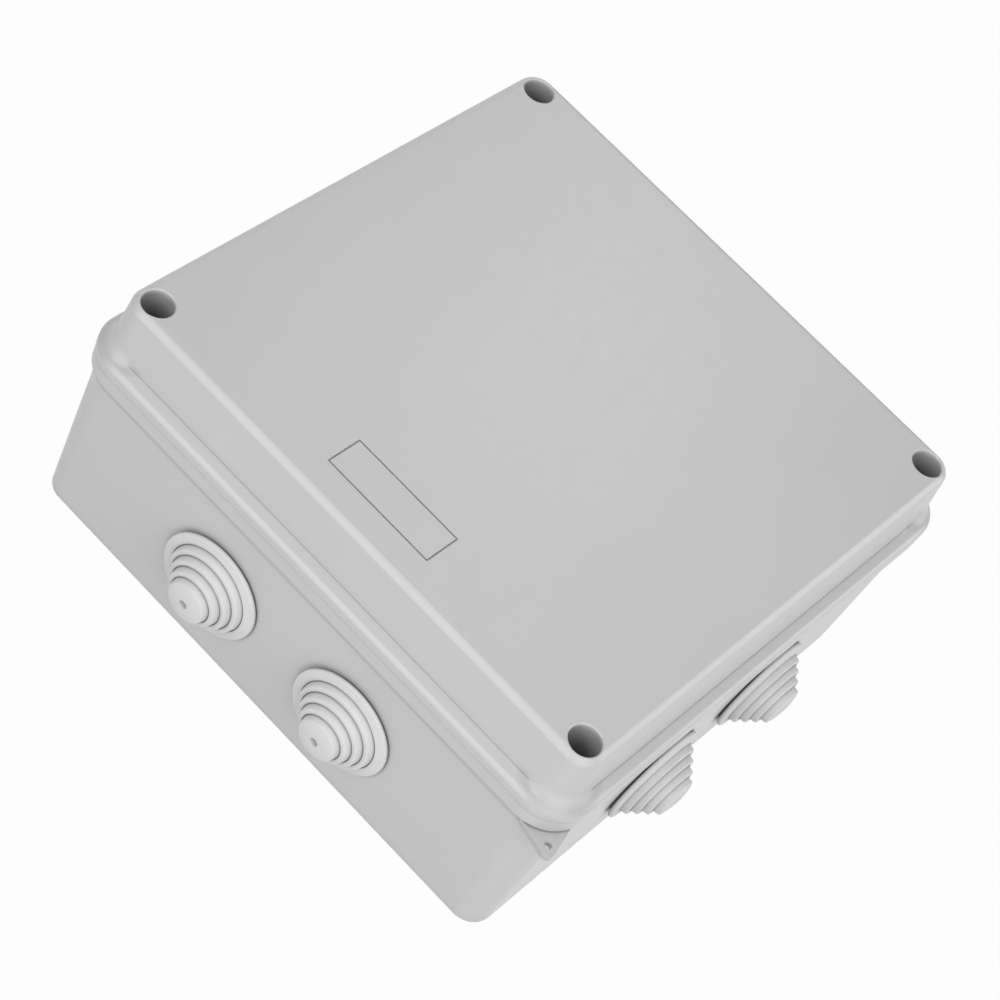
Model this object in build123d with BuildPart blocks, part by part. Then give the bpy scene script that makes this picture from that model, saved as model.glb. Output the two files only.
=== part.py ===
from build123d import *
import math
import os

# Square surface-mounting junction box: a drafted base with eight stepped cable grommets and a
# lift-off lid held by four captive screws at the corners.
# Millimetres, +Z up. The origin is the middle of the underside. The front is -Y, the right is +X.

# Overall sizes
screw_spacing = 133.0  # between the lid screws, both ways
base_height = 51.0
lid_height = 19.0

# Base
base_draft = 2.2  # degrees, the walls lean outwards towards the rim
base_bottom_corner = 6.0
base_top_corner = 10.0
base_edge_radius = 1.2
base_wall = 2.5
floor_thickness = 3.0
rim_overhang = 1.14  # beyond the base's wall
rim_corner = 10.8
rim_height = 4.0
rim_chamfer = 0.4  # at its lower edge
rim_top_chamfer = 0.35

# Corner posts and the sealing line, which passes inside the posts
post_notch_radius = 8.2  # from the screw's axis to the sealing line
seal_turn_radius = 4.0
lip_width = 1.2
lip_height = 1.2

# Fixing holes in the floor and the sealing-wire ear
fixing_inset = 11.5  # from the lid screws' axes towards the middle, both ways
fixing_radius = 2.6
fixing_collar_radius = 5.0
fixing_collar_height = 2.0
ear_thickness = 1.6
ear_root_length = 9.1  # from the rim's corner back along both walls
ear_root_inset = 0.7  # under the rim
ear_tip_reach = 2.2  # beyond the rim, both ways, before the tip is rounded
ear_tip_radius = 1.6
ear_eye_inset = 0.9  # from the rim's sides, both ways
ear_eye_radius = 0.9

# Cable entries
entry_spacing = 43.0  # between the two entries of a wall
entry_height = 22.5
entry_radius = 11.3

# Lid
lid_inset = 4.3  # from the flange's edge to the lid's top edge
lid_corner = 5.5  # at the top, round the screw's axis
lid_draft = 4.8  # degrees
lid_edge_radius = 2.0
lid_wall = 2.2
lid_top_thickness = 2.5
flange_overhang = 0.2  # beyond the base's rim
flange_corner = 11.0
flange_thickness = 4.6
flange_slope_drop = 1.4  # from the wall's foot to the flange's edge
flange_slope_run = 2.9
flange_edge_radius = 1.7
parting_gap = 0.3  # between the lid's edge and the rim, seen as a dark line
parting_gap_depth = 0.8
flare_foot_radius = 8.6  # round each screw well, where the corner runs into the flange
flare_foot_drop = 1.05  # below the flange's top
flare_top_rise = 4.6  # above the flange's top
flare_curve_radius = 6.5
flare_top_inset = 0.5  # from the wall's face
well_radius = 3.95
well_depth = 14.0
well_mouth_radius = 0.35
well_wall = 1.8
screw_hole_clearance = 0.35  # round the shank, in the lid
channel_clearance = 0.9  # each side of the base's lip
channel_rib = 1.4
cavity_corner = 3.0
label_width = 31.0
label_height = 10.4
label_inset = 13.8  # from the lid's front edge to the field's middle
label_line_width = 0.35
label_line_depth = 0.25

# Gasket
gasket_thickness = 1.4
gasket_side_clearance = 0.1
gasket_gap = 0.05  # over the base's lip

# Lid screws, their washers and retainers, and the threaded inserts
shank_radius = 1.95
shank_length = 14.0
shank_tip_chamfer = 0.6
head_radius = 3.5
head_height = 2.7
head_edge_radius = 0.6
drive_width = 0.9
drive_length = 4.4
drive_depth = 1.5
running_clearance = 0.05
washer_radius = 3.6
washer_thickness = 0.8
retainer_radius = 3.6
retainer_thickness = 1.2
retainer_recess = 0.2  # above the lid's parting face
retainer_clearance = 0.05
insert_radius = 2.9
insert_length = 8.0
insert_recess = 0.1  # under the post's top
insert_clearance = 0.05
insert_groove_depth = 0.3
insert_groove_width = 0.8
insert_tip_room = 4.0  # under the insert, for the screw's end

# Grommets, measured from the outer face of the wall
grommet_flange_radius = 13.9
grommet_flange_back = 0.6  # the flange's edge stands off the wall
grommet_flange_front = 1.5
grommet_flange_rise = 1.9  # at the foot of the first step
grommet_neck_radius = 12.4
grommet_step_radius = 11.1  # of the first step's foot
grommet_step_inset = 1.8  # between one step's radius and the next one's
grommet_step_length = 1.75
grommet_step_draft = 0.35
grommet_steps = 4
grommet_tip_radius = 4.3
grommet_tip_round = 0.6  # from the last step's edge to the tip
grommet_dimple_radius = 1.5
grommet_dimple_depth = 0.5
grommet_skin = 1.2
grommet_groove_clearance = 0.1
grommet_bead_radius = 12.4
grommet_bead_length = 2.4
grommet_bead_tip_radius = 10.9

# Sizes worked out from the ones above
box_height = base_height + lid_height
screw_half = screw_spacing / 2
lid_top_half = screw_half + lid_corner
flange_half = lid_top_half + lid_inset
rim_half = flange_half - flange_overhang
rim_bottom = base_height - rim_height
draft_slope = math.tan(math.radians(base_draft))
lid_slope = math.tan(math.radians(lid_draft))
flange_top = base_height + flange_thickness
well_floor = box_height - well_depth
channel_half_width = lip_width / 2 + channel_clearance
channel_roof = base_height + lip_height + gasket_gap + gasket_thickness
shank_hole_radius = shank_radius + running_clearance
insert_top = base_height - insert_recess

corners = {
    "front_left": (-1, -1),
    "front_right": (1, -1),
    "back_right": (1, 1),
    "back_left": (-1, 1),
}

# Each entry: its wall's outward direction and its side along the wall
entries = {
    "front_left": ((0, -1), (-1, 0)),
    "front_right": ((0, -1), (1, 0)),
    "right_front": ((1, 0), (0, -1)),
    "right_back": ((1, 0), (0, 1)),
    "back_right": ((0, 1), (1, 0)),
    "back_left": ((0, 1), (-1, 0)),
    "left_back": ((-1, 0), (0, 1)),
    "left_front": ((-1, 0), (0, -1)),
}


def base_half(height):
    """Half width of the base's outside at a height."""
    return rim_half - rim_overhang - (base_height - height) * draft_slope


def lid_half(height):
    """Half width of the lid's outside at a height."""
    return lid_top_half + (box_height - height) * lid_slope


seal_half = base_half(base_height) - base_wall + lip_width / 2


def rounded_square(half, radius, height):
    """Square profile with round corners, at a height."""
    with BuildSketch(Plane.XY.offset(height)) as profile:
        RectangleRounded(2 * half, 2 * half, radius)
    return profile.sketch


def notched_square(half, notch_radius, turn_radius, height):
    """Square profile that passes inside the four corner posts, at a height."""
    arm = 2 * (screw_half - notch_radius)
    with BuildSketch(Plane.XY.offset(height)) as profile:
        Rectangle(2 * half, arm)
        Rectangle(arm, 2 * half)
        inner_turns = profile.vertices().sort_by_distance((0, 0, 0))[:4]
        fillet(inner_turns, notch_radius)
        outer_turns = profile.vertices().sort_by_distance((0, 0, 0))[-8:]
        fillet(outer_turns, turn_radius)
    return profile.sketch


def seal_outline(offset, height):
    """Profile inside the sealing line, moved outwards by an offset, at a height."""
    return notched_square(
        seal_half + offset,
        post_notch_radius - offset,
        seal_turn_radius + offset,
        height,
    )


def seal_ring(half_width, height):
    """Band that follows the sealing line, at a height."""
    return seal_outline(half_width, height) - seal_outline(-half_width, height)


def entry_plane(outward, side):
    """Plane on the drafted wall at a cable entry, its Z pointing out of the box."""
    reach = base_half(entry_height)
    origin = (
        outward[0] * reach + side[0] * entry_spacing / 2,
        outward[1] * reach + side[1] * entry_spacing / 2,
        entry_height,
    )
    along = (-outward[1], outward[0], 0)
    normal = (outward[0], outward[1], -draft_slope)
    return Plane(origin=origin, x_dir=along, z_dir=normal)


# Base: drafted walls under a wider rim, with the posts in the corners
with BuildPart() as base:
    loft([
        rounded_square(base_half(0), base_bottom_corner, 0),
        rounded_square(base_half(base_height), base_top_corner, base_height),
    ])
    fillet(base.faces().sort_by(Axis.Z)[0].edges(), base_edge_radius)
    extrude(rounded_square(rim_half, rim_corner, rim_bottom), amount=rim_height)
    chamfer(base.faces().sort_by(Axis.Z)[-1].edges(), rim_top_chamfer)
    rim_underside = base.faces().filter_by(Axis.Z).sort_by_distance((rim_half, 0, rim_bottom))[0]
    chamfer(rim_underside.outer_wire().edges(), rim_chamfer)
    # Ear for a sealing wire, under the rim at the front right corner
    ear_root = rim_half - ear_root_length
    ear_root_half = rim_half - ear_root_inset
    ear_tip = rim_half + ear_tip_reach
    ear_eye = rim_half - ear_eye_inset
    with BuildSketch(Plane.XY.offset(rim_bottom - ear_thickness)):
        with BuildLine():
            Polyline(
                (ear_root, -ear_root),
                (ear_root, -ear_root_half),
                (ear_tip, -ear_tip),
                (ear_root_half, -ear_root),
                close=True,
            )
        make_face()
    extrude(amount=ear_thickness)
    ear_edge = base.edges().filter_by(Axis.Z).sort_by_distance((ear_tip, -ear_tip, rim_bottom))[0]
    fillet(ear_edge, ear_tip_radius)
    with Locations(Plane(origin=(ear_eye, -ear_eye, rim_bottom))):
        Hole(ear_eye_radius, depth=ear_thickness)
    # Inside, and the lip that presses on the gasket
    cavity_floor_half = base_half(floor_thickness) - base_wall
    cavity_top_offset = -lip_width / 2
    loft(
        [
            notched_square(
                cavity_floor_half,
                post_notch_radius - cavity_top_offset,
                seal_turn_radius + cavity_top_offset,
                floor_thickness,
            ),
            seal_outline(cavity_top_offset, base_height),
        ],
        mode=Mode.SUBTRACT,
    )
    extrude(seal_ring(lip_width / 2, base_height), amount=lip_height)
    # Fixing holes, each in a low collar on the floor
    fixing_pitch = 2 * (screw_half - fixing_inset)
    with BuildSketch(Plane.XY.offset(floor_thickness)):
        with GridLocations(fixing_pitch, fixing_pitch, 2, 2):
            Circle(fixing_collar_radius)
    extrude(amount=fixing_collar_height)
    with BuildSketch():
        with GridLocations(fixing_pitch, fixing_pitch, 2, 2):
            Circle(fixing_radius)
    extrude(amount=floor_thickness + fixing_collar_height, mode=Mode.SUBTRACT)
    # Posts: bored for the insert and the screw's end
    with Locations(Plane.XY.offset(base_height)):
        with GridLocations(screw_spacing, screw_spacing, 2, 2):
            Hole(insert_radius + insert_clearance, depth=insert_length + insert_recess)
            Hole(shank_radius + screw_hole_clearance, depth=insert_length + insert_tip_room)
    # Cable entries
    for outward, side in entries.values():
        with BuildSketch(entry_plane(outward, side)):
            Circle(entry_radius)
        extrude(amount=2 * base_wall, both=True, mode=Mode.SUBTRACT)

# Flange of the lid, sloping down to its round edge
with BuildPart() as flange:
    extrude(rounded_square(flange_half, flange_corner, base_height), amount=flange_thickness)
    flange_top_edges = flange.faces().sort_by(Axis.Z)[-1].edges()
    chamfer(flange_top_edges, flange_slope_drop, flange_slope_run)
    flange_edge = flange.edges().filter_by_position(
        Axis.Z, flange_top - 1.1 * flange_slope_drop, flange_top - 0.9 * flange_slope_drop
    )
    fillet(flange_edge, flange_edge_radius)

# Flare at the foot of a lid corner, round the screw well
with BuildPart() as flare:
    with BuildSketch(Plane.XZ):
        with BuildLine():
            foot = (flare_foot_radius, flange_top - flare_foot_drop)
            top = (
                lid_half(flange_top) - screw_half - flare_top_inset,
                flange_top + flare_top_rise,
            )
            RadiusArc(foot, top, flare_curve_radius)
            Polyline(top, (0, top[1]), (0, base_height), (flare_foot_radius, base_height), foot)
        make_face()
    revolve(axis=Axis.Z)

# Lid: drafted walls on the flange, the corners concentric with the screw wells
with BuildPart() as lid:
    wall_foot = lid_half(base_height)
    loft([
        rounded_square(wall_foot, wall_foot - screw_half, base_height),
        rounded_square(lid_top_half, lid_corner, box_height),
    ])
    fillet(lid.faces().sort_by(Axis.Z)[-1].edges(), lid_edge_radius)
    add(flange.part)
    with GridLocations(screw_spacing, screw_spacing, 2, 2):
        add(flare.part)
    # Gap at the parting, round the outside
    extrude(
        rounded_square(flange_half, flange_corner, base_height)
        - rounded_square(
            flange_half - parting_gap_depth, flange_corner - parting_gap_depth, base_height
        ),
        amount=parting_gap,
        mode=Mode.SUBTRACT,
    )
    # Inside, with the rib that closes the gasket's channel
    rib_offset = -channel_half_width - channel_rib
    extrude(
        seal_outline(rib_offset, base_height),
        amount=flange_thickness,
        mode=Mode.SUBTRACT,
    )
    cavity_half = lid_top_half - lid_wall
    cavity_roof = box_height - lid_top_thickness
    with BuildSketch(Plane.XY.offset(flange_top)) as lid_cavity:
        RectangleRounded(2 * cavity_half, 2 * cavity_half, cavity_corner)
        with GridLocations(screw_spacing, screw_spacing, 2, 2):
            Circle(well_radius + well_wall, mode=Mode.SUBTRACT)
    extrude(amount=cavity_roof - flange_top, mode=Mode.SUBTRACT)
    extrude(
        seal_ring(channel_half_width, base_height),
        amount=channel_roof - base_height,
        mode=Mode.SUBTRACT,
    )
    # Screw wells, holes and retainer seats
    with Locations(Plane.XY.offset(box_height)):
        with GridLocations(screw_spacing, screw_spacing, 2, 2):
            Hole(well_radius, depth=well_depth)
            Hole(shank_radius + screw_hole_clearance, depth=lid_height)
    with BuildSketch(Plane.XY.offset(base_height)):
        with GridLocations(screw_spacing, screw_spacing, 2, 2):
            Circle(retainer_radius + retainer_clearance)
    extrude(amount=retainer_recess + retainer_thickness, mode=Mode.SUBTRACT)
    well_mouths = lid.edges().filter_by(GeomType.CIRCLE).group_by(Axis.Z)[-1]
    fillet(well_mouths, well_mouth_radius)
    # Bare label field: a fine line round it
    label_middle = label_inset - lid_top_half
    with BuildSketch(Plane(origin=(0, label_middle, box_height - label_line_depth))):
        Rectangle(label_width, label_height)
        Rectangle(
            label_width - 2 * label_line_width,
            label_height - 2 * label_line_width,
            mode=Mode.SUBTRACT,
        )
    extrude(amount=label_line_depth, mode=Mode.SUBTRACT)

# Gasket in the lid's channel
with BuildPart() as gasket:
    extrude(
        seal_ring(channel_half_width - gasket_side_clearance, channel_roof - gasket_thickness),
        amount=gasket_thickness,
    )

# Lid screw, its head resting on the washer
head_seat = well_floor + washer_thickness
with BuildPart() as screw:
    with BuildSketch(Plane.XY.offset(head_seat)):
        Circle(head_radius)
    extrude(amount=head_height)
    fillet(screw.faces().sort_by(Axis.Z)[-1].edges(), head_edge_radius)
    with BuildSketch(Plane.XY.offset(head_seat)):
        Circle(shank_radius)
    extrude(amount=-shank_length)
    chamfer(screw.faces().sort_by(Axis.Z)[0].edges(), shank_tip_chamfer)
    with BuildSketch(Plane.XY.offset(head_seat + head_height)):
        Rectangle(drive_length, drive_width)
        Rectangle(drive_width, drive_length)
    extrude(amount=-drive_depth, mode=Mode.SUBTRACT)

# Washer under the screw's head
with BuildPart() as washer:
    with BuildSketch(Plane.XY.offset(well_floor)):
        Circle(washer_radius)
        Circle(shank_hole_radius, mode=Mode.SUBTRACT)
    extrude(amount=washer_thickness)

# Retainer that keeps the loosened screw in the lid
with BuildPart() as retainer:
    with BuildSketch(Plane.XY.offset(base_height + retainer_recess)):
        Circle(retainer_radius)
        Circle(shank_hole_radius, mode=Mode.SUBTRACT)
    extrude(amount=retainer_thickness)

# Threaded insert in a post, grooved outside so that it holds in the plastic
with BuildPart() as insert:
    with BuildSketch(Plane.XY.offset(insert_top - insert_length)):
        Circle(insert_radius)
        Circle(shank_hole_radius, mode=Mode.SUBTRACT)
    extrude(amount=insert_length)
    for share in (1 / 3, 2 / 3):
        groove_middle = insert_top - insert_length * share
        with BuildSketch(Plane.XY.offset(groove_middle - insert_groove_width / 2)):
            Circle(insert_radius + insert_clearance)
            Circle(insert_radius - insert_groove_depth, mode=Mode.SUBTRACT)
        extrude(amount=insert_groove_width, mode=Mode.SUBTRACT)


def step_foot(step):
    """Distance from the wall to a step's foot."""
    return grommet_flange_rise + step * grommet_step_length


def step_radius(step):
    """Radius of a step at its foot."""
    return grommet_step_radius - step * grommet_step_inset


def grommet_outside():
    """Points of the grommet's outside, from the flange to the tip, as radius and distance."""
    points = [
        (grommet_neck_radius, 0),
        (grommet_neck_radius, grommet_flange_back),
        (grommet_flange_radius, grommet_flange_back),
        (grommet_flange_radius, grommet_flange_front),
    ]
    for step in range(grommet_steps):
        radius = step_radius(step)
        points.append((radius, step_foot(step)))
        points.append((radius - grommet_step_draft, step_foot(step) + grommet_step_length))
    return points


def grommet_inside():
    """Points of the grommet's inside, from the tip back to its mouth, as radius and distance."""
    points = []
    for step in reversed(range(grommet_steps)):
        radius = step_radius(step) - grommet_skin
        points.append((radius, step_foot(step) + grommet_step_length - grommet_skin))
        points.append((radius, step_foot(step) - grommet_skin))
    return points


# Grommet: a stepped cone that is cut to the cable, snapped into the wall by its groove
with BuildPart() as grommet:
    outside = grommet_outside()
    inside = grommet_inside()
    groove_radius = entry_radius - grommet_groove_clearance
    bead_front = -base_wall - grommet_groove_clearance
    bead_back = bead_front - grommet_bead_length
    tip_front = step_foot(grommet_steps) + grommet_tip_round
    dimple_floor = tip_front - grommet_dimple_depth
    with BuildSketch(Plane.XZ):
        with BuildLine():
            Polyline(
                outside
                + [
                    (grommet_tip_radius, tip_front),
                    (grommet_dimple_radius, tip_front),
                    (grommet_dimple_radius - grommet_dimple_depth, dimple_floor),
                    (0, dimple_floor),
                    (0, inside[0][1]),
                ]
                + inside
                + [
                    (inside[-1][0], bead_back),
                    (grommet_bead_tip_radius, bead_back),
                    (grommet_bead_radius, bead_front - grommet_bead_length / 3),
                    (grommet_bead_radius, bead_front),
                    (groove_radius, bead_front),
                    (groove_radius, 0),
                ],
                close=True,
            )
        make_face()
    revolve(axis=Axis.Z)

base.part.label = "base"
lid.part.label = "lid"
gasket.part.label = "gasket"

os.makedirs("parts", exist_ok=True)
export_step(base.part, "parts/base.step")
export_step(lid.part, "parts/lid.step")
export_step(gasket.part, "parts/gasket.step")


def write_copies(piece, kind, places):
    """Write a copy of a repeated piece at each named place."""
    for place, location in places.items():
        copy = piece.moved(location)
        copy.label = f"{kind}_{place}"
        export_step(copy, f"parts/{copy.label}.step")


corner_places = {
    name: Location((x * screw_half, y * screw_half, 0)) for name, (x, y) in corners.items()
}
entry_places = {name: entry_plane(*directions).location for name, directions in entries.items()}

write_copies(screw.part, "lid_screw", corner_places)
write_copies(washer.part, "screw_washer", corner_places)
write_copies(retainer.part, "screw_retainer", corner_places)
write_copies(insert.part, "threaded_insert", corner_places)
write_copies(grommet.part, "grommet", entry_places)
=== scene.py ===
"""Square junction box: its finishes, its rounded rubber cones and threaded screws, light and camera."""

import logging
import math
from dataclasses import dataclass
from enum import Enum
from typing import ClassVar

import bmesh
import bpy
from mathutils import Matrix, Vector


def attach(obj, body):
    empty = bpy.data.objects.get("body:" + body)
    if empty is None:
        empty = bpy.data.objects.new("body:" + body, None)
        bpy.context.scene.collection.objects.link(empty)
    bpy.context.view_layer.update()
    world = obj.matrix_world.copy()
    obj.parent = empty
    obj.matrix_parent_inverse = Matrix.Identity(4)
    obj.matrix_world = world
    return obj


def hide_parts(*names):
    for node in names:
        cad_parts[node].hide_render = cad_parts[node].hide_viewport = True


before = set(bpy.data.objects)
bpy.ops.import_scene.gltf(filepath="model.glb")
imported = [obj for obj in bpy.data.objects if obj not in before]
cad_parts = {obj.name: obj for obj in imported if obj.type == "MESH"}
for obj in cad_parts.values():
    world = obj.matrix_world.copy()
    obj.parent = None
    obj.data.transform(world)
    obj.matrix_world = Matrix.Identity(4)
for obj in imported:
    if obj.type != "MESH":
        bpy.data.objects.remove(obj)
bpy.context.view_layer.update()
Colour = tuple[float, float, float]
Profile = list[tuple[float, float]]
WHITE: Colour = (1.0, 1.0, 1.0)
log = logging.getLogger("junction_box")

# Lengths in metres
MM = 0.001
SCREW_OFFSET = 0.0665
MERGE_DISTANCE = 0.000001
SEAM_DISTANCE = 0.0000001
RING_TOLERANCE = 0.000002


class Corner(Enum):
    """A corner of the box: the signs of its X and Y."""

    FRONT_LEFT = (-1, -1)
    FRONT_RIGHT = (1, -1)
    BACK_RIGHT = (1, 1)
    BACK_LEFT = (-1, 1)

    @property
    def label(self) -> str:
        """The corner's name as the frame's nodes spell it."""
        return self.name.lower()


class Entry(Enum):
    """A cable entry: its wall's outward direction, its side along the wall, and its flange's loose side.

    The loose side is where the soft flange stands furthest off the wall, in degrees about the cone,
    from the right as seen from outside.
    """

    FRONT_LEFT = ((0, -1), (-1, 0), 150)
    FRONT_RIGHT = ((0, -1), (1, 0), 140)
    RIGHT_FRONT = ((1, 0), (0, -1), 262)
    RIGHT_BACK = ((1, 0), (0, 1), 275)
    BACK_RIGHT = ((0, 1), (1, 0), 40)
    BACK_LEFT = ((0, 1), (-1, 0), 310)
    LEFT_BACK = ((-1, 0), (0, 1), 195)
    LEFT_FRONT = ((-1, 0), (0, -1), 75)

    @property
    def label(self) -> str:
        """The entry's name as the frame's nodes spell it."""
        return self.name.lower()

    @property
    def outward(self) -> tuple[int, int]:
        """The X and Y of the wall's outward direction."""
        return self.value[0]

    @property
    def side(self) -> tuple[int, int]:
        """The X and Y of the direction from the wall's middle to the entry."""
        return self.value[1]

    @property
    def loose_side(self) -> float:
        """The flange's loose side, in radians about the cone."""
        return math.radians(self.value[2])


class Board:
    """A material's node tree, with short calls to fill it.

    A band fades over a share of its height at each side, and a ring from a share of its radius. A flat
    edge starts and fades by the part of the normal along Z.
    """

    crease_samples: ClassVar[int] = 8
    edge_samples: ClassVar[int] = 6
    band_fade: ClassVar[float] = 0.1
    ring_fade: ClassVar[float] = 0.8
    edge_start: ClassVar[tuple[float, float]] = (0.12, 0.32)
    edge_end_fade: ClassVar[float] = 0.05

    def __init__(self, name: str) -> None:
        """Starts a node material.

        Args:
            name: The material's name.
        """
        self.material = bpy.data.materials.new(name)
        self.material.use_nodes = True
        self.tree = self.material.node_tree
        self.shader = self.tree.nodes["Principled BSDF"]
        self.place = self.node("ShaderNodeTexCoord").outputs["Object"]

    def node(self, kind: str, **settings: object) -> bpy.types.Node:
        """Adds a node.

        Args:
            kind: Blender's name for the node type.
            **settings: Properties of the node, set by name.

        Returns:
            The new node.
        """
        made = self.tree.nodes.new(kind)
        for key, value in settings.items():
            setattr(made, key, value)
        return made

    def join(self, start: bpy.types.NodeSocket, end: bpy.types.NodeSocket) -> None:
        """Links an output to an input."""
        self.tree.links.new(start, end)

    def noise(
        self, per_metre: float, detail: float = 3.0,
        stretch: tuple[float, float, float] = (1.0, 1.0, 1.0),
    ) -> bpy.types.NodeSocket:
        """Adds a noise on the piece's own coordinates.

        Args:
            per_metre: How many grains lie on a metre.
            detail: The noise's octaves.
            stretch: A factor on the grain for each axis.

        Returns:
            The noise's value, about 0 to 1.
        """
        turn = self.node("ShaderNodeMapping")
        turn.inputs["Scale"].default_value = stretch
        self.join(self.place, turn.inputs["Vector"])
        grain = self.node("ShaderNodeTexNoise")
        grain.inputs["Scale"].default_value = per_metre
        grain.inputs["Detail"].default_value = detail
        self.join(turn.outputs["Vector"], grain.inputs["Vector"])
        return grain.outputs["Fac"]

    def between(
        self, value: bpy.types.NodeSocket, low: float, high: float,
        start: float = 0.3, end: float = 0.7,
    ) -> bpy.types.NodeSocket:
        """Maps a value to a range.

        Args:
            value: The value to map.
            low: The result at start.
            high: The result at end.
            start: The value that gives low.
            end: The value that gives high.

        Returns:
            The mapped value.
        """
        ramp = self.node("ShaderNodeMapRange")
        for key, number in (("From Min", start), ("From Max", end), ("To Min", low), ("To Max", high)):
            ramp.inputs[key].default_value = number
        self.join(value, ramp.inputs["Value"])
        return ramp.outputs["Result"]

    def blend(
        self, share: bpy.types.NodeSocket,
        first: Colour | bpy.types.NodeSocket, second: Colour | bpy.types.NodeSocket,
    ) -> bpy.types.NodeSocket:
        """Mixes two colours.

        Args:
            share: How much of the second colour, 0 to 1.
            first: A colour as numbers, or a socket.
            second: A colour as numbers, or a socket.

        Returns:
            The mixed colour.
        """
        mix = self.node("ShaderNodeMix", data_type="RGBA")
        self.join(share, mix.inputs["Factor"])
        for key, colour in ((6, first), (7, second)):
            if isinstance(colour, bpy.types.NodeSocket):
                self.join(colour, mix.inputs[key])
            else:
                mix.inputs[key].default_value = (*colour, 1.0)
        return mix.outputs[2]

    def tinted(self, colour: bpy.types.NodeSocket, tint: bpy.types.NodeSocket) -> bpy.types.NodeSocket:
        """Multiplies a colour by another one."""
        mix = self.node("ShaderNodeMix", data_type="RGBA", blend_type="MULTIPLY")
        mix.inputs["Factor"].default_value = 1.0
        self.join(colour, mix.inputs[6])
        self.join(tint, mix.inputs[7])
        return mix.outputs[2]

    def bump(
        self, height: bpy.types.NodeSocket, depth: float,
        under: bpy.types.NodeSocket | None = None,
    ) -> bpy.types.NodeSocket:
        """Raises the surface by a height.

        Args:
            height: The height, 0 to 1.
            depth: The depth of a height of 1, in metres.
            under: A normal that this bump lies on.

        Returns:
            The new normal.
        """
        raised = self.node("ShaderNodeBump")
        raised.inputs["Distance"].default_value = depth
        self.join(height, raised.inputs["Height"])
        if under is not None:
            self.join(under, raised.inputs["Normal"])
        return raised.outputs["Normal"]

    def sum_of(
        self, operation: str, first: bpy.types.NodeSocket, second: float | bpy.types.NodeSocket = 0.0
    ) -> bpy.types.NodeSocket:
        """Works out one number.

        Args:
            operation: Blender's name for the sum.
            first: The first number.
            second: The second number, or a socket, where the sum has one.

        Returns:
            The result.
        """
        made = self.node("ShaderNodeMath", operation=operation)
        self.join(first, made.inputs[0])
        if isinstance(second, bpy.types.NodeSocket):
            self.join(second, made.inputs[1])
        else:
            made.inputs[1].default_value = second
        return made.outputs["Value"]

    def open_sky(self, reach: float, lowest: float, highest: float) -> bpy.types.NodeSocket:
        """Finds how open the surface lies, for the shade painted into creases.

        Args:
            reach: How far the walls of a crease still count, in metres.
            lowest: The openness that gives 0.
            highest: The openness that gives 1.

        Returns:
            About 0 in a crease and 1 on an open face.
        """
        sky = self.node("ShaderNodeAmbientOcclusion", samples=self.crease_samples)
        sky.inputs["Distance"].default_value = reach
        return self.between(sky.outputs["AO"], 0.0, 1.0, lowest, highest)

    def paint_crease_shade(
        self, colour: bpy.types.NodeSocket, reach: float, shade: float, span: tuple[float, float]
    ) -> bpy.types.NodeSocket:
        """Paints shade into a colour in creases.

        Args:
            colour: The colour on an open face.
            reach: How far the walls of a crease still count, in metres.
            shade: The factor on the colour deep in a crease.
            span: The openness that counts as a crease, and the one that counts as an open face.

        Returns:
            The shaded colour.
        """
        return self.tinted(colour, self.blend(self.open_sky(reach, *span), (shade,) * 3, WHITE))

    def paint_shade_at(
        self, colour: bpy.types.NodeSocket, place: bpy.types.NodeSocket, shade: float
    ) -> bpy.types.NodeSocket:
        """Paints shade into a colour at a place.

        Args:
            colour: The colour elsewhere.
            place: 1 at the place and 0 elsewhere.
            shade: The factor on the colour there.

        Returns:
            The shaded colour.
        """
        return self.tinted(colour, self.blend(place, WHITE, (shade,) * 3))

    def level_band(self, low: float, high: float) -> bpy.types.NodeSocket:
        """Finds the surface between two heights.

        Args:
            low: The lowest height, in metres.
            high: The highest height, in metres.

        Returns:
            1 there and 0 elsewhere, with a soft edge.
        """
        parts = self.node("ShaderNodeSeparateXYZ")
        self.join(self.place, parts.inputs["Vector"])
        soft = self.band_fade * (high - low)
        above = self.between(parts.outputs["Z"], 0.0, 1.0, low, low + soft)
        below = self.between(parts.outputs["Z"], 1.0, 0.0, high - soft, high)
        return self.sum_of("MULTIPLY", above, below)

    def near_wells(self, distance: float, low: float, high: float) -> bpy.types.NodeSocket:
        """Finds the surface round the four screw axes.

        Args:
            distance: How far from an axis it ends, in metres.
            low: The lowest height, in metres.
            high: The highest height, in metres.

        Returns:
            1 there and 0 elsewhere, with a soft edge.
        """
        parts = self.node("ShaderNodeSeparateXYZ")
        self.join(self.place, parts.inputs["Vector"])
        sides = []
        for axis in ("X", "Y"):
            away = self.sum_of("SUBTRACT", self.sum_of("ABSOLUTE", parts.outputs[axis]), SCREW_OFFSET)
            sides.append(self.sum_of("POWER", self.sum_of("ABSOLUTE", away), 2.0))
        reach = self.sum_of("SQRT", self.sum_of("ADD", sides[0], sides[1]))
        near = self.between(reach, 1.0, 0.0, self.ring_fade * distance, distance)
        return self.sum_of("MULTIPLY", near, self.level_band(low, high))

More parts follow.
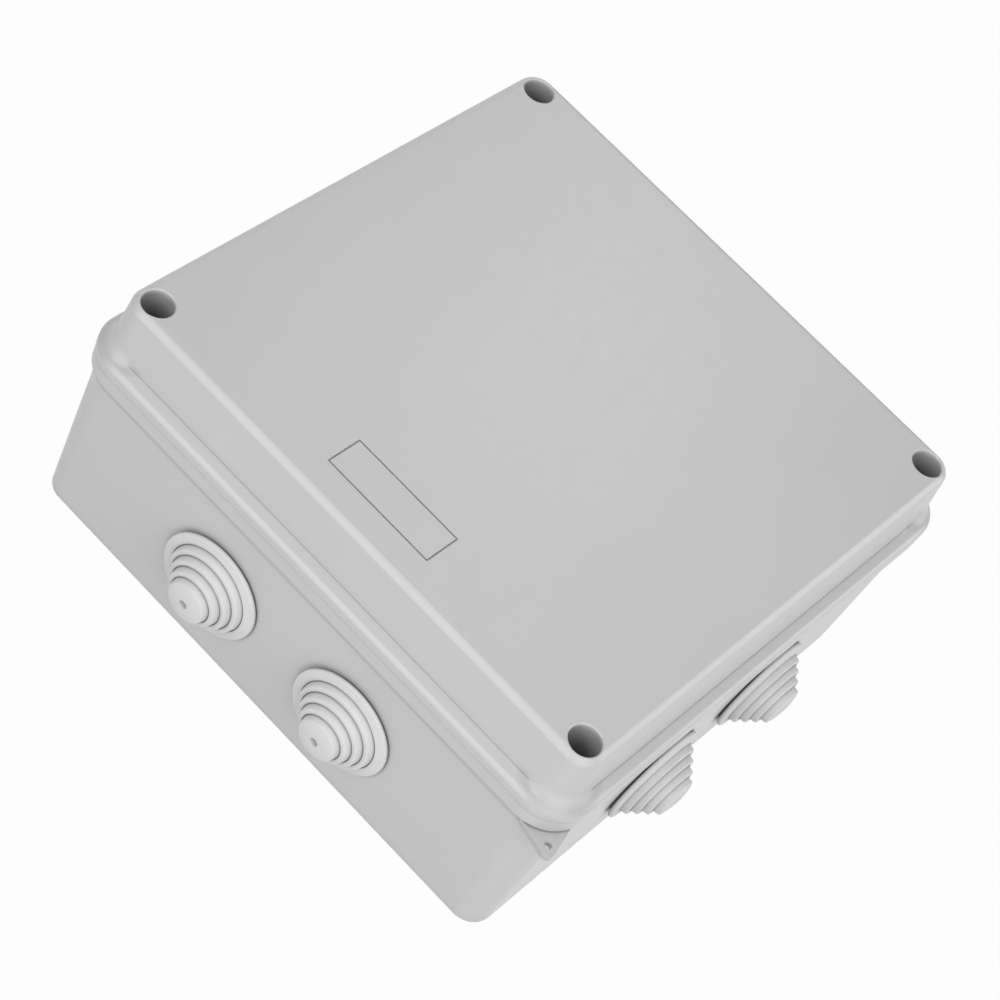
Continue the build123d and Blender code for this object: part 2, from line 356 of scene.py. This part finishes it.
    def flat_edge(
        self, normal: bpy.types.NodeSocket, low: float, high: float, upright: float, share: float
    ) -> bpy.types.NodeSocket:
        """Turns the normals of a round upper edge towards its middle, as on a flattened edge.

        Args:
            normal: The surface's normal.
            low: The lowest height of the edge, in metres.
            high: The highest height of the edge, in metres.
            upright: The part of the normal along Z at which the edge ends and the upper face starts.
            share: How far the normals turn, 0 to 1.

        Returns:
            The new normal.
        """
        shape = self.node("ShaderNodeSeparateXYZ")
        self.join(self.node("ShaderNodeNewGeometry").outputs["Normal"], shape.inputs["Vector"])
        level = self.node("ShaderNodeVectorMath", operation="MULTIPLY")
        level.inputs[1].default_value = (1.0, 1.0, 0.0)
        self.join(normal, level.inputs[0])
        outward = self.node("ShaderNodeVectorMath", operation="NORMALIZE")
        self.join(level.outputs["Vector"], outward.inputs[0])
        slanted = self.node("ShaderNodeVectorMath", operation="ADD")
        slanted.inputs[1].default_value = (0.0, 0.0, 1.0)
        self.join(outward.outputs["Vector"], slanted.inputs[0])
        middle = self.node("ShaderNodeVectorMath", operation="NORMALIZE")
        self.join(slanted.outputs["Vector"], middle.inputs[0])
        band = self.sum_of("MULTIPLY", self.level_band(low, high), share)
        side = self.between(shape.outputs["Z"], 0.0, 1.0, *self.edge_start)
        top = self.between(shape.outputs["Z"], 1.0, 0.0, upright, upright + self.edge_end_fade)
        amount = self.sum_of("MULTIPLY", band, self.sum_of("MULTIPLY", side, top))
        turned = self.node("ShaderNodeVectorMath", operation="NORMALIZE")
        self.join(self.blend(amount, normal, middle.outputs["Vector"]), turned.inputs[0])
        return turned.outputs["Vector"]


@dataclass(frozen=True)
class MouldedPlastic:
    """Satin moulded plastic with a fine spark-eroded grain.

    Lengths and heights are in metres, grains and the wave are per metre, and a shade is a factor on the
    colour. Creases, hollows, wells, the corners' folds and the band under the rim get painted shade. The
    span of creases and hollows is the openness at which they are darkest and at which they end, and the
    tint's span is of its noise. A flat edge is its lowest and highest height, and the part of the normal
    along Z at which the upper face starts.
    """

    name: str
    colour: Colour
    shade: float = 0.985
    tint_grain: float = 34.0
    tint_span: tuple[float, float] = (0.32, 0.68)
    roughness: float = 0.46
    roughness_grain: float = 260.0
    roughness_range: float = 0.02
    specular: float = 0.42
    grain: float = 2600.0
    grain_depth: float = 0.000002
    wave: float = 17.0
    wave_depth: float = 0.00010
    edge_radius: float = 0.0003
    flare_radius: float = 0.0022
    flare_reach: float = 0.0125
    flare_heights: tuple[float, float] = (0.0525, 0.0615)
    # Painted shade: how far it reaches and how dark it is in creases, hollows, wells, folds and under the
    # rim.
    crease_reach: float = 0.0006
    crease_shade: float = 0.62
    crease_span: tuple[float, float] = (0.4, 0.85)
    hollow_reach: float = 0.004
    hollow_shade: float = 0.80
    hollow_span: tuple[float, float] = (0.25, 0.9)
    flat_edges: tuple[tuple[float, float, float], ...] = ()
    flat_edge_share: float = 0.7
    rim_heights: tuple[float, float] = (0.0444, 0.0468)
    rim_shade: float = 1.0
    well_reach: float = 0.0050
    well_heights: tuple[float, float] = (0.0560, 0.0697)
    well_shade: float = 1.0
    fold_reach: tuple[float, float] = (0.0088, 0.0102)
    fold_heights: tuple[float, float] = (0.0532, 0.0570)
    fold_shade: float = 1.0

    def material(self) -> bpy.types.Material:
        """Builds the material."""
        board = Board(self.name)
        board.join(self.body_colour(board), board.shader.inputs["Base Color"])
        rough = board.between(
            board.noise(self.roughness_grain, detail=5),
            self.roughness - self.roughness_range, self.roughness + self.roughness_range,
        )
        board.join(rough, board.shader.inputs["Roughness"])
        board.shader.inputs["Specular IOR Level"].default_value = self.specular
        wave = board.bump(board.noise(self.wave, detail=1), self.wave_depth, self.rounded(board))
        fine = board.bump(board.noise(self.grain, detail=2), self.grain_depth, wave)
        board.join(fine, board.shader.inputs["Normal"])
        return board.material

    def body_colour(self, board: Board) -> bpy.types.NodeSocket:
        """Mixes the colour, with shade painted into creases, the wells, the corners' folds and under the
        rim.

        Args:
            board: The material's nodes.

        Returns:
            The colour.
        """
        tint = board.between(board.noise(self.tint_grain, detail=4), 0.0, 1.0, *self.tint_span)
        body = board.blend(tint, tuple(part * self.shade for part in self.colour), self.colour)
        # Painted shade in hollows, creases, the wells, the folds round the flares' feet and under the rim.
        body = board.paint_crease_shade(body, self.hollow_reach, self.hollow_shade, self.hollow_span)
        body = board.paint_crease_shade(body, self.crease_reach, self.crease_shade, self.crease_span)
        well = board.near_wells(self.well_reach, *self.well_heights)
        inner, outer = (board.near_wells(reach, *self.fold_heights) for reach in self.fold_reach)
        fold = board.sum_of("SUBTRACT", outer, inner)
        body = board.paint_shade_at(body, well, self.well_shade)
        body = board.paint_shade_at(body, fold, self.fold_shade)
        return board.paint_shade_at(body, board.level_band(*self.rim_heights), self.rim_shade)

    def rounded(self, board: Board) -> bpy.types.NodeSocket:
        """Rounds the sharp edges, more at the flares round the wells' feet, and flattens the lid's edges.

        Args:
            board: The material's nodes.

        Returns:
            The normal.
        """
        flare = board.near_wells(self.flare_reach, *self.flare_heights)
        soft = board.node("ShaderNodeBevel", samples=board.edge_samples)
        radius = board.between(flare, self.edge_radius, self.flare_radius, 0.0, 1.0)
        board.join(radius, soft.inputs["Radius"])
        edge = soft.outputs["Normal"]
        for low, high, upright in self.flat_edges:
            edge = board.flat_edge(edge, low, high, upright, self.flat_edge_share)
        return edge


@dataclass(frozen=True)
class Rubber:
    """Soft matt rubber with a powdery surface.

    Lengths are in metres, grains are per metre, and a shade is a factor on the colour. Creases and hollows
    get painted shade, and the open span is the openness at which it is darkest and at which it ends.
    """

    name: str
    colour: Colour
    shade: float = 0.965
    tint_grain: float = 120.0
    roughness: float = 0.58
    roughness_grain: float = 500.0
    roughness_range: float = 0.06
    grain: float = 1900.0
    grain_depth: float = 0.00002
    sheen: float = 0.12
    sheen_roughness: float = 0.5
    open_span: tuple[float, float] = (0.35, 0.85)
    crease_reach: float = 0.0013
    crease_shade: float = 0.46
    hollow_reach: float = 0.003
    hollow_shade: float = 0.76

    def material(self) -> bpy.types.Material:
        """Builds the material."""
        board = Board(self.name)
        tint = board.between(board.noise(self.tint_grain, detail=4), 0.0, 1.0)
        body = board.blend(tint, tuple(part * self.shade for part in self.colour), self.colour)
        # Painted shade in the hollows and creases between the steps and in the dimple.
        body = board.paint_crease_shade(body, self.hollow_reach, self.hollow_shade, self.open_span)
        body = board.paint_crease_shade(body, self.crease_reach, self.crease_shade, self.open_span)
        board.join(body, board.shader.inputs["Base Color"])
        rough = board.between(
            board.noise(self.roughness_grain, detail=4),
            self.roughness - self.roughness_range, self.roughness + self.roughness_range,
        )
        board.join(rough, board.shader.inputs["Roughness"])
        board.shader.inputs["Sheen Weight"].default_value = self.sheen
        board.shader.inputs["Sheen Roughness"].default_value = self.sheen_roughness
        fine = board.bump(board.noise(self.grain, detail=3), self.grain_depth)
        board.join(fine, board.shader.inputs["Normal"])
        return board.material


@dataclass(frozen=True)
class TurnedMetal:
    """Metal with the fine rings of a lathe round its upright axis.

    Lengths are in metres, and grains and rings are per metre. The stain's span is of its noise, and the
    ring stretch is a factor on the rings' grain along X and Y.
    """

    name: str
    colour: Colour
    stain: Colour
    stain_grain: float = 420.0
    stain_span: tuple[float, float] = (0.42, 0.72)
    roughness: float = 0.3
    roughness_grain: float = 700.0
    roughness_range: tuple[float, float] = (-0.07, 0.09)
    rings: float = 5200.0
    ring_stretch: float = 0.02
    ring_depth: float = 0.000006

    def material(self) -> bpy.types.Material:
        """Builds the material."""
        board = Board(self.name)
        tint = board.between(board.noise(self.stain_grain, detail=4), 0.0, 1.0, *self.stain_span)
        board.join(board.blend(tint, self.colour, self.stain), board.shader.inputs["Base Color"])
        board.shader.inputs["Metallic"].default_value = 1.0
        low, high = (self.roughness + part for part in self.roughness_range)
        rough = board.between(board.noise(self.roughness_grain, detail=3), low, high)
        board.join(rough, board.shader.inputs["Roughness"])
        rings = board.noise(self.rings, detail=1, stretch=(self.ring_stretch, self.ring_stretch, 1.0))
        board.join(board.bump(rings, self.ring_depth), board.shader.inputs["Normal"])
        return board.material


@dataclass(frozen=True)
class Finishes:
    """The box's finishes, one for each material slot."""

    # The shell's well, fold and rim shades are painted shade in the wells, round the flares' feet and
    # under the rim.
    shell: MouldedPlastic = MouldedPlastic(
        "shell_plastic", (0.555, 0.558, 0.556), roughness=0.33, well_shade=0.6, fold_shade=0.82,
        rim_shade=0.86, flat_edges=((0.0662, 0.0710, 0.94), (0.0512, 0.0556, 0.82)),
    )
    cones: Rubber = Rubber("grommet_rubber", (0.68, 0.682, 0.676))
    seal: Rubber = Rubber(
        "seal_rubber", (0.035, 0.035, 0.036), roughness=0.75, grain=900.0, grain_depth=0.00006, sheen=0.05,
    )
    screws: TurnedMetal = TurnedMetal("screw_steel", (0.62, 0.62, 0.60), (0.48, 0.49, 0.50))
    inserts: TurnedMetal = TurnedMetal(
        "insert_brass", (0.78, 0.58, 0.27), (0.62, 0.44, 0.20), roughness=0.26,
    )
    nylon: MouldedPlastic = MouldedPlastic(
        "nylon", (0.78, 0.77, 0.72), shade=0.97, roughness=0.38, grain=3200.0, grain_depth=0.000008,
        wave_depth=0.00002,
    )

    def build(self) -> dict[str, bpy.types.Material]:
        """Builds every finish.

        Returns:
            The materials by slot name.
        """
        kinds = (self.shell, self.cones, self.seal, self.screws, self.inserts, self.nylon)
        return {kind.name: kind.material() for kind in kinds}


@dataclass
class SubAssembly:
    """What every sub-assembly shares: its materials by slot name, and how its pieces are dressed."""

    materials: dict[str, bpy.types.Material]
    crease_angle: ClassVar[float] = math.radians(38)

    def dress(self, node: str, slot: str) -> None:
        """Gives a node of the frame its finish.

        Args:
            node: The node's name.
            slot: The material slot's name.
        """
        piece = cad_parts[node]
        piece.data.materials.clear()
        piece.data.materials.append(self.materials[slot])
        log.info("dressed %s in %s", node, slot)

    def piece(self, name: str, mesh: bmesh.types.BMesh, slot: str, body: str) -> bpy.types.Object:
        """Makes an object of a finished mesh, which rides on a body.

        Args:
            name: The piece's name.
            mesh: Its mesh, which is used up.
            slot: The material slot's name.
            body: The body that it rides on.

        Returns:
            The new object.
        """
        bmesh.ops.remove_doubles(mesh, verts=mesh.verts, dist=MERGE_DISTANCE)
        bmesh.ops.recalc_face_normals(mesh, faces=mesh.faces)
        for face in mesh.faces:
            face.smooth = True
        for edge in mesh.edges:
            edge.smooth = edge.calc_face_angle(math.pi) < self.crease_angle
        data = bpy.data.meshes.new(name)
        mesh.to_mesh(data)
        mesh.free()
        data.materials.append(self.materials[slot])
        made = bpy.data.objects.new(name, data)
        bpy.context.scene.collection.objects.link(made)
        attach(made, body)
        log.info("made %s: %d faces", name, len(data.polygons))
        return made


def lathe(profile: Profile, steps: int) -> bmesh.types.BMesh:
    """Spins a profile round the Z axis.

    Args:
        profile: Points as radius and height in millimetres, from one end to the other.
        steps: How many steps a full turn has.

    Returns:
        The closed mesh.
    """
    mesh = bmesh.new()
    points = [mesh.verts.new((radius * MM, 0.0, height * MM)) for radius, height in profile]
    line = [mesh.edges.new(pair) for pair in zip(points, points[1:])]
    bmesh.ops.spin(
        mesh, geom=points + line, cent=(0, 0, 0), axis=(0, 0, 1), dvec=(0, 0, 0),
        angle=math.tau, steps=steps, use_merge=True, use_duplicate=False,
    )
    bmesh.ops.remove_doubles(mesh, verts=mesh.verts, dist=SEAM_DISTANCE)
    return mesh


def cut_away(mesh: bmesh.types.BMesh, tool: bmesh.types.BMesh) -> bmesh.types.BMesh:
    """Cuts one closed mesh out of another.

    Args:
        mesh: The mesh to cut, which is used up.
        tool: The mesh to take away, which is used up.

    Returns:
        What is left.
    """
    blanks = []
    for shape in (mesh, tool):
        bmesh.ops.recalc_face_normals(shape, faces=shape.faces)
        data = bpy.data.meshes.new("blank")
        shape.to_mesh(data)
        shape.free()
        blank = bpy.data.objects.new("blank", data)
        bpy.context.scene.collection.objects.link(blank)
        blanks.append(blank)
    cut = blanks[0].modifiers.new("cut", "BOOLEAN")
    cut.operation = "DIFFERENCE"
    cut.solver = "EXACT"
    cut.object = blanks[1]
    left = bmesh.new()
    left.from_object(blanks[0], bpy.context.evaluated_depsgraph_get())
    for blank in blanks:
        bpy.data.meshes.remove(blank.data)
    return left


def round_rings(mesh: bmesh.types.BMesh, rings: Profile, radius: float, segments: int) -> None:
    """Rounds the sharp rings of a lathed mesh.

    Args:
        mesh: The mesh.
        rings: The rings to round, as radius and height in millimetres.
        radius: How far the rounding goes, in millimetres.
        segments: How many steps it has.
    """
    chosen = []
    for edge in mesh.edges:
        ends = [Vector((point.co.xy.length, point.co.z)) for point in edge.verts]
        for ring in rings:
            if all((end - Vector(ring) * MM).length < RING_TOLERANCE for end in ends):
                chosen.append(edge)
    bmesh.ops.bevel(
        mesh, geom=chosen, offset=radius * MM, offset_type="OFFSET", affect="EDGES",
        segments=segments, profile=0.5, material=-1, clamp_overlap=True,
    )


@dataclass
class CableCone(SubAssembly):
    """A stepped rubber cone in a wall, with the soft edges of a moulding. Sizes in millimetres.

    The dome's shares run from its foot to the dimple. The dimple's are of its radius and its depth.
    """

    dome_shares: ClassVar[tuple[float, ...]] = (0.0, 0.15, 0.35, 0.6, 0.85)
    dimple_shares: ClassVar[tuple[tuple[float, float], ...]] = (
        (1.0, 0.02), (0.92, 0.2), (0.82, 0.6), (0.6, 0.9), (0.3, 0.99), (0.0, 1.0),
    )

    entry: Entry
    wall_reach: float = 73.865
    side_offset: float = 21.5
    height: float = 22.5
    lean_degrees: float = 2.2
    flange_radius: float = 13.9
    flange_back: float = 0.45
    flange_front: float = 1.5
    neck_radius: float = 12.4
    first_step_radius: float = 11.1
    step_inset: float = 1.8
    step_length: float = 1.75
    step_draft: float = 0.35
    steps: int = 4
    first_step_foot: float = 1.9
    tip_radius: float = 4.9
    tip_rise: float = 0.6
    tip_dome: float = 0.6
    dimple_radius: float = 1.15
    dimple_depth: float = 1.55
    skin: float = 1.2
    groove_radius: float = 11.2
    bead_front: float = -2.6
    bead_edge: float = 0.8
    bead_length: float = 2.4
    bead_radius: float = 12.4
    bead_tip_radius: float = 10.9
    flange_round: float = 0.35
    flange_segments: int = 3
    flange_curl: float = 0.36
    step_round: float = 0.62
    step_segments: int = 4
    foot_groove: float = 0.24
    lathe_steps: int = 72

    def step(self, number: int) -> Profile:
        """One step: its foot, the groove there and its front edge.

        Args:
            number: The step's number, from the flange outwards.

        Returns:
            Points as radius and distance from the wall.
        """
        radius = self.first_step_radius - number * self.step_inset
        foot = self.first_step_foot + number * self.step_length
        return [
            (radius + self.foot_groove, foot),
            (radius, foot - self.foot_groove),
            (radius - self.step_draft, foot + self.step_length),
        ]

    def outside(self) -> Profile:
        """The outside from the wall to the last step, as radius and distance."""
        points = [
            (self.neck_radius, 0.0),
            (self.neck_radius, self.flange_back),
            (self.flange_radius, self.flange_back),
            (self.flange_radius, self.flange_front),
        ]
        for number in range(self.steps):
            points += self.step(number)
        return points

    def flange_rings(self) -> Profile:
        """The flange's outer edges, as radius and distance."""
        return [(self.flange_radius, self.flange_back), (self.flange_radius, self.flange_front)]

    def step_rings(self) -> Profile:
        """The steps' front edges, as radius and distance."""
        return [self.step(number)[-1] for number in range(self.steps)]

    def tip(self) -> Profile:
        """The tip and its dimple, as radius and distance."""
        front = self.first_step_foot + self.steps * self.step_length + self.tip_rise
        span = self.tip_radius - self.dimple_radius
        dome = [
            (self.tip_radius - span * share, front - self.tip_dome * (1 - share) ** 2)
            for share in self.dome_shares
        ]
        dimple = [
            (self.dimple_radius * radius, front - self.dimple_depth * depth)
            for radius, depth in self.dimple_shares
        ]
        return dome + dimple

    def inside(self) -> Profile:
        """The inside, from the tip back over the bead to the wall, as radius and distance."""
        points = []
        for number in reversed(range(self.steps)):
            radius = self.first_step_radius - number * self.step_inset - self.skin
            foot = self.first_step_foot + number * self.step_length - self.skin
            points += [(radius, foot + self.step_length), (radius, foot)]
        bead_back = self.bead_front - self.bead_length
        return [(0.0, points[0][1])] + points + [
            (points[-1][0], bead_back),
            (self.bead_tip_radius, bead_back),
            (self.bead_radius, self.bead_front - self.bead_edge),
            (self.bead_radius, self.bead_front),
            (self.groove_radius, self.bead_front),
            (self.groove_radius, 0.0),
            (self.neck_radius, 0.0),
        ]

    def place(self) -> Matrix:
        """The cone's place on its leaning wall."""
        (nx, ny), (sx, sy) = self.entry.outward, self.entry.side
        slope = math.tan(math.radians(self.lean_degrees))
        out = Vector((nx, ny, -slope)).normalized()
        along = Vector((-ny, nx, 0.0))
        up = out.cross(along)
        turn = Matrix((along, up, out)).transposed().to_4x4()
        middle = Vector((
            nx * self.wall_reach + sx * self.side_offset,
            ny * self.wall_reach + sy * self.side_offset,
            self.height,
        ))
        return Matrix.Translation(middle * MM) @ turn

    def curl_flange(self, mesh: bmesh.types.BMesh) -> None:
        """Lifts the flange's edge on its loose side and presses it to the wall on the other.

        Args:
            mesh: The cone's mesh, before it goes to its wall.
        """
        loose = Vector((math.cos(self.entry.loose_side), math.sin(self.entry.loose_side)))
        width = self.flange_radius - self.neck_radius
        for point in mesh.verts:
            share = (point.co.xy.length / MM - self.neck_radius) / width
            if share > 0 and point.co.z > 0:
                point.co.z += self.flange_curl * MM * share * loose.dot(point.co.xy.normalized())

    def build(self) -> None:
        """Builds the cone in place of its plain node."""
        mesh = lathe(self.outside() + self.tip() + self.inside(), self.lathe_steps)
        round_rings(mesh, self.flange_rings(), self.flange_round, self.flange_segments)
        round_rings(mesh, self.step_rings(), self.step_round, self.step_segments)
        self.curl_flange(mesh)
        mesh.transform(self.place())
        node = f"grommet_{self.entry.label}"
        cone = self.piece(f"cone_{self.entry.label}", mesh, "grommet_rubber", "base")
        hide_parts(node)


@dataclass
class LidScrew(SubAssembly):
    """A captive lid screw with a rolled thread and a cross recess. Sizes in millimetres.

    The drive's taper is the size of the recess's floor as a share of its mouth, along the arm and across.
    """

    corner: Corner
    axis_offset: float = SCREW_OFFSET / MM
    seat: float = 56.8
    head_radius: float = 3.5
    head_height: float = 2.7
    head_round: float = 0.6
    head_segments: int = 4
    drive_length: float = 4.6
    drive_width: float = 0.95
    drive_depth: float = 1.5
    drive_taper: tuple[float, float] = (0.4, 0.75)
    shank_length: float = 14.0
    shank_radius: float = 1.95
    core_radius: float = 1.55
    plain_length: float = 4.6
    shoulder: float = 0.3
    tip_length: float = 0.6
    tip_chamfer: float = 0.3
    lathe_steps: int = 48
    pitch: float = 0.7
    ridge_half: float = 0.294
    crest_half: float = 0.04
    ridge_sink: float = 0.05
    turn_steps: int = 24

    def shank(self) -> bmesh.types.BMesh:
        """The head and the core of the shank."""
        top = self.seat + self.head_height
        tip = self.seat - self.shank_length
        profile = [
            (0.0, tip),
            (self.core_radius - self.tip_chamfer, tip),
            (self.core_radius, tip + self.tip_length),
            (self.core_radius, self.seat - self.plain_length),
            (self.shank_radius, self.seat - self.plain_length + self.shoulder),
            (self.shank_radius, self.seat),
            (self.head_radius, self.seat),
            (self.head_radius, top - self.head_round),
        ]
        for step in range(1, self.head_segments + 1):
            angle = math.pi / 2 * step / self.head_segments
            profile.append((
                self.head_radius - self.head_round * (1 - math.cos(angle)),
                top - self.head_round * (1 - math.sin(angle)),
            ))
        profile.append((0.0, top))
        whole = lathe(profile, self.lathe_steps)
        for turn in (0.0, math.pi / 2):
            whole = cut_away(whole, self.drive_arm(turn, top))
        return whole

    def drive_arm(self, turn: float, top: float) -> bmesh.types.BMesh:
        """One arm of the cross recess, narrower towards its floor.

        Args:
            turn: Its angle about the screw's axis, in radians.
            top: The height of the head's top, in millimetres.

        Returns:
            The closed mesh to cut away.
        """
        arm = bmesh.new()
        bmesh.ops.create_cube(arm, size=1.0)
        size = (self.drive_length * MM, self.drive_width * MM, 2 * self.drive_depth * MM)
        bmesh.ops.scale(arm, vec=size, verts=arm.verts)
        floor = [point for point in arm.verts if point.co.z < 0]
        bmesh.ops.scale(arm, vec=(*self.drive_taper, 1.0), verts=floor)
        bmesh.ops.rotate(arm, matrix=Matrix.Rotation(turn, 3, "Z"), verts=arm.verts)
        bmesh.ops.translate(arm, vec=(0.0, 0.0, top * MM), verts=arm.verts)
        return arm

    def thread(self) -> bmesh.types.BMesh:
        """The thread's ridge, spun up the shank."""
        low = self.seat - self.shank_length + self.tip_length
        turns = int((self.shank_length - self.plain_length - self.tip_length) / self.pitch) - 1
        steps = self.turn_steps * turns
        foot = self.core_radius - self.ridge_sink
        crest = low + self.ridge_half
        mesh = bmesh.new()
        corners = [
            (foot, low),
            (self.shank_radius, crest - self.crest_half),
            (self.shank_radius, crest + self.crest_half),
            (foot, low + 2 * self.ridge_half),
        ]
        points = [mesh.verts.new((radius * MM, 0.0, height * MM)) for radius, height in corners]
        mesh.faces.new(points)
        bmesh.ops.spin(
            mesh, geom=list(mesh.verts) + list(mesh.edges) + list(mesh.faces), cent=(0, 0, 0),
            axis=(0, 0, 1), dvec=(0, 0, self.pitch * turns * MM / steps),
            angle=math.tau * turns, steps=steps, use_merge=False, use_duplicate=False,
        )
        return mesh

    def build(self) -> None:
        """Builds the screw in place of its plain node."""
        x, y = self.corner.value
        place = Matrix.Translation((x * self.axis_offset * MM, y * self.axis_offset * MM, 0.0))
        label = self.corner.label
        shank = self.shank()
        shank.transform(place)
        screw = self.piece(f"screw_{label}_shank", shank, "screw_steel", f"screw_{label}")
        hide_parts(f"lid_screw_{label}")
        thread = self.thread()
        thread.transform(place)
        self.piece(f"screw_{label}_thread", thread, "screw_steel", f"screw_{label}")


class Shell(SubAssembly):
    """The base and the lid, with the small parts that stay as the frame has them."""

    def build(self) -> None:
        """Dresses the shell's nodes."""
        self.dress("base", "shell_plastic")
        self.dress("lid", "shell_plastic")
        self.dress("gasket", "seal_rubber")
        for corner in Corner:
            self.dress(f"screw_washer_{corner.label}", "nylon")
            self.dress(f"screw_retainer_{corner.label}", "nylon")
            self.dress(f"threaded_insert_{corner.label}", "insert_brass")


@dataclass(frozen=True)
class Lamp:
    """A soft square lamp aimed at the box. Places in metres."""

    name: str
    place: tuple[float, float, float]
    width: float
    power: float
    colour: Colour = WHITE

    def build(self, target: Vector) -> None:
        """Hangs the lamp.

        Args:
            target: The point that it shines on.
        """
        data = bpy.data.lights.new(self.name, "AREA")
        data.size = self.width
        data.energy = self.power
        data.color = self.colour
        lamp = bpy.data.objects.new(self.name, data)
        lamp.location = self.place
        lamp.rotation_euler = (target - Vector(self.place)).to_track_quat("-Z", "Y").to_euler()
        bpy.context.scene.collection.objects.link(lamp)


@dataclass(frozen=True)
class Studio:
    """The white floor, the lamps, the world and the camera. Places and lengths in metres.

    The floor's white is how much of plain white the camera sees in place of the lit floor. The focal
    length is in widths of the sensor, which is in millimetres.
    """

    lamps: tuple[Lamp, ...] = (
        Lamp("key_lamp", (0.79, -0.60, 0.66), width=1.0, power=7.0),
        Lamp("front_lamp", (-0.25, -0.92, 0.66), width=0.6, power=4.6),
        Lamp("back_lamp", (-0.28, 0.87, 0.94), width=0.22, power=1.15),
        Lamp("fill_lamp", (-0.95, 0.78, 0.20), width=0.8, power=3.0),
        Lamp("edge_lamp", (0.88, 0.77, 0.28), width=0.5, power=2.6),
    )
    world_strength: float = 0.41
    floor_size: float = 6.0
    floor_gap: float = 0.0002
    floor_grey: float = 0.48
    floor_roughness: float = 0.9
    floor_white: float = 0.975
    camera_place: tuple[float, float, float] = (0.13771, -0.43052, 0.52544)
    camera_aim: tuple[float, float, float] = (0.00411, -0.00656, 0.035)
    camera_roll_degrees: float = 32.04
    focal_widths: float = 2.8221
    sensor_width: float = 36.0
    clip_start: float = 0.01

    def seen_white(self) -> bpy.types.Material:
        """A floor that the camera sees as plain white, with a faint shadow."""
        board = Board("floor_white")
        board.shader.inputs["Base Color"].default_value = (*(self.floor_grey,) * 3, 1.0)
        board.shader.inputs["Roughness"].default_value = self.floor_roughness
        white = board.node("ShaderNodeEmission")
        white.inputs["Color"].default_value = (*WHITE, 1.0)
        path = board.node("ShaderNodeLightPath")
        seen = board.node("ShaderNodeMath", operation="MAXIMUM")
        board.join(path.outputs["Is Camera Ray"], seen.inputs[0])
        board.join(path.outputs["Is Glossy Ray"], seen.inputs[1])
        share = board.between(seen.outputs["Value"], 0.0, self.floor_white, 0.0, 1.0)
        mix = board.node("ShaderNodeMixShader")
        board.join(share, mix.inputs["Fac"])
        board.join(board.shader.outputs["BSDF"], mix.inputs[1])
        board.join(white.outputs["Emission"], mix.inputs[2])
        output = next(n for n in board.tree.nodes if n.type == "OUTPUT_MATERIAL")
        board.join(mix.outputs["Shader"], output.inputs["Surface"])
        return board.material

    def floor(self) -> None:
        """Lays the floor under the box."""
        mesh = bmesh.new()
        bmesh.ops.create_grid(mesh, x_segments=1, y_segments=1, size=self.floor_size)
        data = bpy.data.meshes.new("floor")
        mesh.to_mesh(data)
        mesh.free()
        data.materials.append(self.seen_white())
        floor = bpy.data.objects.new("floor", data)
        floor.location.z = -self.floor_gap
        bpy.context.scene.collection.objects.link(floor)

    def world(self) -> None:
        """Lights the room evenly and shows it white to the camera."""
        world = bpy.data.worlds.new("room")
        bpy.context.scene.world = world
        world.use_nodes = True
        tree = world.node_tree
        light = tree.nodes["Background"]
        light.inputs["Color"].default_value = (*WHITE, 1.0)
        light.inputs["Strength"].default_value = self.world_strength
        seen = tree.nodes.new("ShaderNodeBackground")
        seen.inputs["Color"].default_value = (*WHITE, 1.0)
        path = tree.nodes.new("ShaderNodeLightPath")
        mix = tree.nodes.new("ShaderNodeMixShader")
        tree.links.new(path.outputs["Is Camera Ray"], mix.inputs["Fac"])
        tree.links.new(light.outputs["Background"], mix.inputs[1])
        tree.links.new(seen.outputs["Background"], mix.inputs[2])
        tree.links.new(mix.outputs["Shader"], tree.nodes["World Output"].inputs["Surface"])

    def camera(self) -> None:
        """Sets the camera where the photograph was taken from."""
        data = bpy.data.cameras.new("camera")
        data.sensor_fit = "HORIZONTAL"
        data.sensor_width = self.sensor_width
        data.lens = self.focal_widths * data.sensor_width
        data.clip_start = self.clip_start
        camera = bpy.data.objects.new("camera", data)
        place = Vector(self.camera_place)
        aim = (Vector(self.camera_aim) - place).to_track_quat("-Z", "Y").to_matrix().to_4x4()
        roll = Matrix.Rotation(math.radians(self.camera_roll_degrees), 4, "Z")
        camera.matrix_world = Matrix.Translation(place) @ aim @ roll
        bpy.context.scene.collection.objects.link(camera)
        bpy.context.scene.camera = camera

    def build(self) -> None:
        """Builds the studio."""
        self.camera()
        self.floor()
        self.world()
        for lamp in self.lamps:
            lamp.build(Vector(self.camera_aim))
        bpy.context.scene.view_settings.view_transform = "Standard"


def main() -> None:
    """Builds the box and its studio."""
    logging.basicConfig(level=logging.INFO, format="%(message)s")
    Studio().build()
    materials = Finishes().build()
    Shell(materials).build()
    for entry in Entry:
        CableCone(materials, entry).build()
    for corner in Corner:
        LidScrew(materials, corner).build()


if __name__ == "__main__":
    main()
